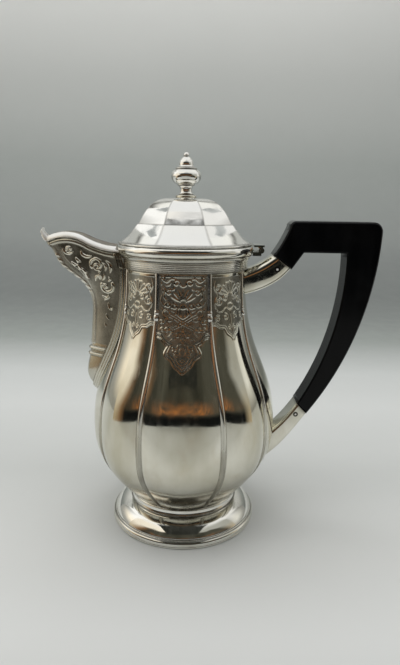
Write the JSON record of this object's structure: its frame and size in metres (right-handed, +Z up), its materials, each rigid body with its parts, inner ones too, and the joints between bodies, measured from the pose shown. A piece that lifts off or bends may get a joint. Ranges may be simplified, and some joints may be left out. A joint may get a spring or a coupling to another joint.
{
  "type": "coffee pot",
  "caption": "Pear-shaped silver coffee pot with ribbed panels, round foot, beaked spout, hinged faceted lid with finial and a black wooden handle held in metal sockets.",
  "frame": {"origin": "centre of the foot on the plane it stands on", "axes": "+Z up; the spout points to -X and the handle to +X; -Y is the side the picture shows"},
  "size_m": [0.199, 0.1126, 0.2248],
  "materials": {
    "silver": "polished, slightly warm, with dark patina in the recesses",
    "black_wood": "satin black, worn on the edges"
  },
  "bodies": {
    "pot": {"body_shell": "silver", "spout_strainer": "silver", "neck_collar": "silver", "foot_pedestal": "silver", "foot_rim": "silver", "spout_shell": "silver", "spout_rim": "silver", "spout_border": "silver", "spout_band": "silver", "hinge_pin": "silver", "hinge_body_leaf": "silver", "upper_pin": "silver", "lower_pin": "silver", "upper_socket": "silver", "lower_socket": "silver", "handle_grip": "black_wood"},
    "lid": {"lid_rim": "silver", "lid_bezel": "silver", "lid_dome": "silver", "finial_collar": "silver", "finial_knob": "silver", "finial_nut": "silver", "hinge_lid_leaf": "silver"}
  },
  "joints": [
    {"name": "lid_hinge", "type": "hinge", "parent": "pot", "child": "lid", "pos_m": [0.0442, 0, 0.1704], "axis": [0, 1, 0], "range_deg": [0, 95]}
  ]
}
